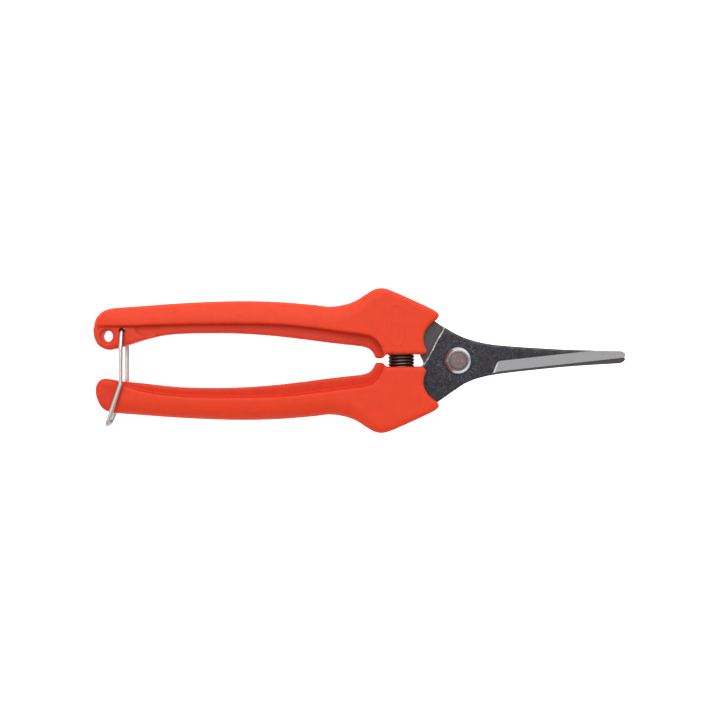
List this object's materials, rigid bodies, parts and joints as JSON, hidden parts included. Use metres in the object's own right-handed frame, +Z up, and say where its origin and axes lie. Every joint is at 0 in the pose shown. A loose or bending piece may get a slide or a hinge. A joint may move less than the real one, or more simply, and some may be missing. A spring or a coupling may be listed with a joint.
{
  "type": "floral snips",
  "caption": "Slim spring-loaded snips with straight narrow blades, moulded plastic handles and a wire catch that holds them closed",
  "frame": {"origin": "under the middle of the closed tool's box, on the surface that it lies on", "axes": "+X from the handles to the tips, +Y from the lower handle to the upper one, +Z up from the surface, along the pivot; the front blade is the upper one in Z"},
  "size_m": [0.1895, 0.0514, 0.014],
  "materials": {
    "handle": "fine-textured orange-red moulding",
    "blade": "dark heat-treated steel with a bright ground bevel",
    "rivet": "satin",
    "collar": "polished",
    "spring": "oiled black",
    "wire": "bright drawn wire"
  },
  "bodies": {
    "upper_half": {"handle_upper": "handle", "blade_rear": "blade", "pivot_rivet": "rivet", "collar_front": "collar", "collar_rear": "collar", "return_spring": "spring"},
    "lower_half": {"handle_lower": "handle", "blade_front": "blade"},
    "catch": {"catch_wire": "wire"}
  },
  "joints": [
    {"name": "blade_pivot", "type": "hinge", "parent": "upper_half", "child": "lower_half", "pos_m": [0.0349, 0, 0.007], "axis": [0, 0, 1], "range_deg": [-2.4, 24], "deforming": ["return_spring"]},
    {"name": "catch_swing", "type": "hinge", "parent": "upper_half", "child": "catch", "pos_m": [-0.084, 0.0105, 0.007], "axis": [0, 0, 1], "range_deg": [-96, 9.6]}
  ],
  "couplings": [
    {"joint": "catch_swing", "follows": "blade_pivot", "ratio": -4}
  ]
}
